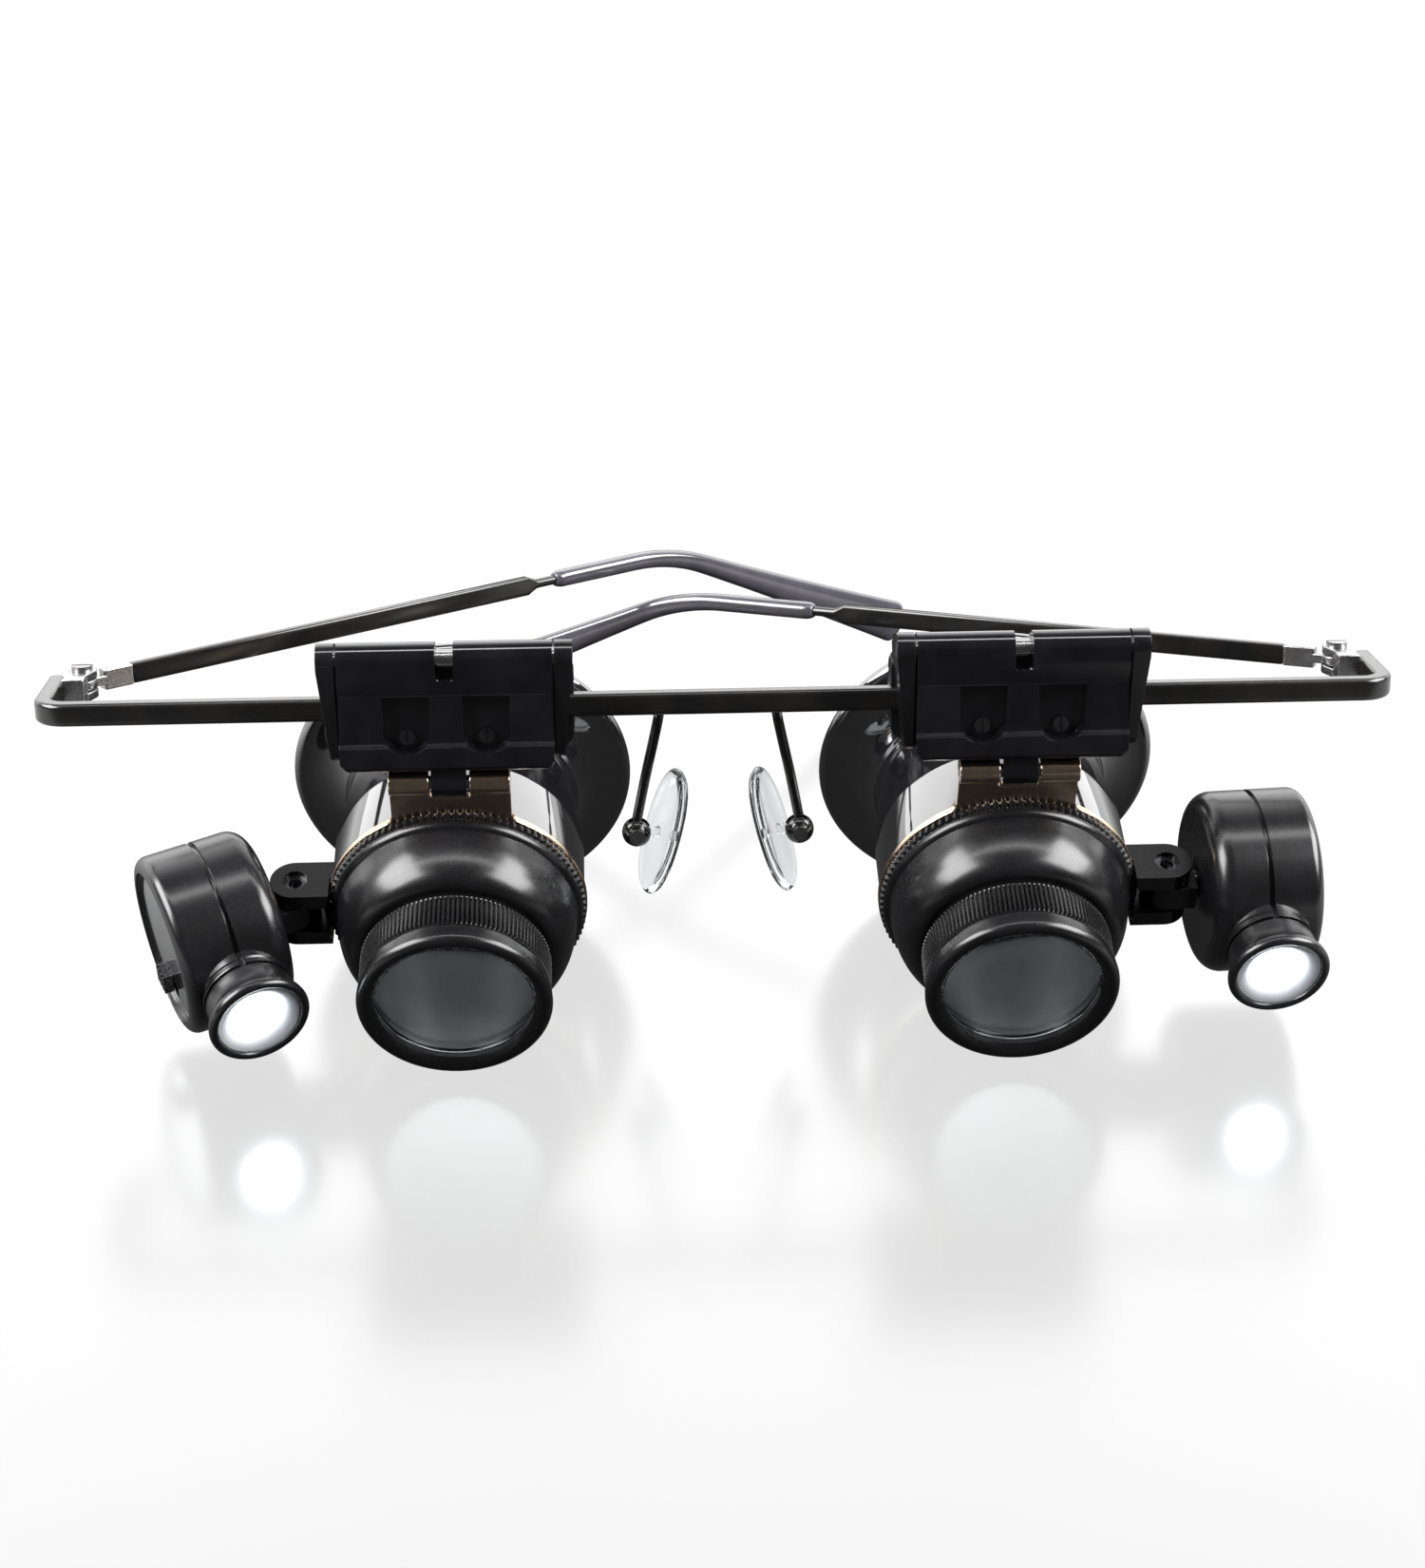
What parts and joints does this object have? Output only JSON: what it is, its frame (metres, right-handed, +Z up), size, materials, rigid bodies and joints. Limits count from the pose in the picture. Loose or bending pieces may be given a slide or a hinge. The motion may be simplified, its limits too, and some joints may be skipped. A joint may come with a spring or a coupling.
{
  "type": "dental loupes",
  "caption": "Spectacle-frame dental loupes: flip-up magnifier tubes on sliding clamps, focusing rings, swivelling LED lamps and folding temples.",
  "frame": {"origin": "middle of the footprint on the table the loupes stand on, temples folded", "axes": "+X across the face to the right as seen from the front, +Y from the lenses towards the wearer, +Z up"},
  "size_m": [0.14, 0.0995, 0.0449],
  "materials": {
    "black_metal": "satin black lacquer",
    "bright_metal": "polished",
    "grey_plastic": "smoky grey, slightly translucent",
    "clear_silicone": "clear, soft",
    "clamp_black": "satin to glossy moulded black",
    "dark_screw": "dark",
    "bracket_gold": "pale gold plating",
    "gloss_black": "high gloss",
    "tube_black": "satin black",
    "lens_glass": "coated",
    "lamp_black": "satin moulded black",
    "led_white": "clear white LED",
    "lamp_silver": "mirror-like"
  },
  "bodies": {
    "frame": {"front_bar": "black_metal", "nose_arms": "black_metal", "nose_screws": "bright_metal", "frame_hinges": "bright_metal", "hinge_screws": "bright_metal"},
    "left_temple": {"left_temple_hinge": "bright_metal", "left_temple_rod": "black_metal", "left_temple_tip": "grey_plastic"},
    "left_pad": {"left_nose_pad": "clear_silicone"},
    "left_clamp": {"left_clamp_front": "clamp_black", "left_clamp_back": "clamp_black", "left_flip_pin": "bright_metal"},
    "left_cover": {"left_flip_cover": "clamp_black", "left_cover_screws": "dark_screw"},
    "left_loupe": {"left_bracket_plate": "bracket_gold", "left_tilt_pin": "bright_metal", "left_eyecup": "gloss_black", "left_barrel": "tube_black", "left_eye_lens": "lens_glass", "left_lamp_bracket": "lamp_black", "left_swivel_pin": "dark_screw"},
    "left_lens_cell": {"left_lens_sleeve": "tube_black", "left_front_lens": "lens_glass"},
    "left_ring": {"left_focus_ring": "tube_black"},
    "left_lamp_arm": {"left_lamp_yoke": "lamp_black"},
    "left_lamp": {"left_case_inner": "lamp_black", "left_case_outer": "lamp_black", "left_lamp_hood": "lamp_black", "left_led": "led_white", "left_cells": "bright_metal", "left_lamp_cover": "lamp_silver"},
    "left_slider": {"left_switch": "lamp_black"},
    "right_temple": {"right_temple_hinge": "bright_metal", "right_temple_rod": "black_metal", "right_temple_tip": "grey_plastic"},
    "right_pad": {"right_nose_pad": "clear_silicone"},
    "right_clamp": {"right_clamp_front": "clamp_black", "right_clamp_back": "clamp_black", "right_flip_pin": "bright_metal"},
    "right_cover": {"right_flip_cover": "clamp_black", "right_cover_screws": "dark_screw"},
    "right_loupe": {"right_bracket_plate": "bracket_gold", "right_tilt_pin": "bright_metal", "right_eyecup": "gloss_black", "right_barrel": "tube_black", "right_eye_lens": "lens_glass", "right_lamp_bracket": "lamp_black", "right_swivel_pin": "dark_screw"},
    "right_lens_cell": {"right_lens_sleeve": "tube_black", "right_front_lens": "lens_glass"},
    "right_ring": {"right_focus_ring": "tube_black"},
    "right_lamp_arm": {"right_lamp_yoke": "lamp_black"},
    "right_lamp": {"right_case_inner": "lamp_black", "right_case_outer": "lamp_black", "right_lamp_hood": "lamp_black", "right_led": "led_white", "right_cells": "bright_metal", "right_lamp_cover": "lamp_silver"},
    "right_slider": {"right_switch": "lamp_black"}
  },
  "joints": [
    {"name": "left_temple_fold", "type": "hinge", "parent": "frame", "child": "left_temple", "pos_m": [-0.06665, -0.01818, 0.03368], "axis": [0, 0.2079, 0.9781], "range_deg": [-6, 53]},
    {"name": "left_pad_rock", "type": "hinge", "parent": "frame", "child": "left_pad", "pos_m": [-0.0086, -0.02688, 0.01918], "axis": [0, 0.9781, -0.2079], "range_deg": [-10, 10]},
    {"name": "left_clamp_slide", "type": "slide", "parent": "frame", "child": "left_clamp", "axis": [1, 0, 0], "range_m": [-0.008, 0]},
    {"name": "left_flip_up", "type": "hinge", "parent": "left_clamp", "child": "left_cover", "pos_m": [-0.0276, -0.03261, 0.04319], "axis": [-1, 0, 0], "range_deg": [0, 95]},
    {"name": "left_loupe_tilt", "type": "hinge", "parent": "left_cover", "child": "left_loupe", "pos_m": [-0.0276, -0.03512, 0.03044], "axis": [1, 0, 0], "range_deg": [-8, 6]},
    {"name": "left_lens_travel", "type": "slide", "parent": "left_loupe", "child": "left_lens_cell", "axis": [0, -0.9758, -0.2188], "range_m": [0, 0.0015]},
    {"name": "left_focus_turn", "type": "hinge", "parent": "left_lens_cell", "child": "left_ring", "pos_m": [-0.0276, -0.04297, 0.01105], "axis": [0, -0.9758, -0.2188], "range_deg": [0, 540]},
    {"name": "left_lamp_swivel", "type": "hinge", "parent": "left_loupe", "child": "left_lamp_arm", "pos_m": [-0.0445, -0.03102, 0.01373], "axis": [0, -0.2188, 0.9758], "range_deg": [-50, 9]},
    {"name": "left_lamp_pitch", "type": "hinge", "parent": "left_lamp_arm", "child": "left_lamp", "pos_m": [-0.04761, -0.03237, 0.01343], "axis": [-0.9135, -0.3969, -0.089], "range_deg": [-30, 30]},
    {"name": "left_switch_slide", "type": "slide", "parent": "left_lamp", "child": "left_slider", "axis": [0.4067, -0.8914, -0.1999], "range_m": [0, 0.002]},
    {"name": "right_temple_fold", "type": "hinge", "parent": "frame", "child": "right_temple", "pos_m": [0.06665, -0.01818, 0.03368], "axis": [0, -0.2079, -0.9781], "range_deg": [-6.9, 60.95]},
    {"name": "right_pad_rock", "type": "hinge", "parent": "frame", "child": "right_pad", "pos_m": [0.0086, -0.02688, 0.01918], "axis": [0, 0.9781, -0.2079], "range_deg": [-10, 10]},
    {"name": "right_clamp_slide", "type": "slide", "parent": "frame", "child": "right_clamp", "axis": [-1, 0, 0], "range_m": [-0.006, 0.002]},
    {"name": "right_flip_up", "type": "hinge", "parent": "right_clamp", "child": "right_cover", "pos_m": [0.0304, -0.03261, 0.04319], "axis": [-1, 0, 0], "range_deg": [0, 95]},
    {"name": "right_loupe_tilt", "type": "hinge", "parent": "right_cover", "child": "right_loupe", "pos_m": [0.0304, -0.03512, 0.03044], "axis": [1, 0, 0], "range_deg": [-8, 6]},
    {"name": "right_lens_travel", "type": "slide", "parent": "right_loupe", "child": "right_lens_cell", "axis": [0, -0.9758, -0.2188], "range_m": [0, 0.0015]},
    {"name": "right_focus_turn", "type": "hinge", "parent": "right_lens_cell", "child": "right_ring", "pos_m": [0.0304, -0.04297, 0.01105], "axis": [0, -0.9758, -0.2188], "range_deg": [0, 540]},
    {"name": "right_lamp_swivel", "type": "hinge", "parent": "right_loupe", "child": "right_lamp_arm", "pos_m": [0.0473, -0.03102, 0.01373], "axis": [0, 0.2188, -0.9758], "range_deg": [-25, 34]},
    {"name": "right_lamp_pitch", "type": "hinge", "parent": "right_lamp_arm", "child": "right_lamp", "pos_m": [0.05069, -0.03084, 0.01377], "axis": [-0.9986, -0.0511, -0.0115], "range_deg": [-30, 30]},
    {"name": "right_switch_slide", "type": "slide", "parent": "right_lamp", "child": "right_slider", "axis": [0.0523, -0.9744, -0.2185], "range_m": [0, 0.002]}
  ],
  "couplings": [
    {"joint": "left_focus_turn", "follows": "left_lens_travel", "rad_per_m": 6283.2},
    {"joint": "right_focus_turn", "follows": "right_lens_travel", "rad_per_m": 6283.2},
    {"joint": "right_temple_fold", "follows": "left_temple_fold", "ratio": 1.15}
  ]
}
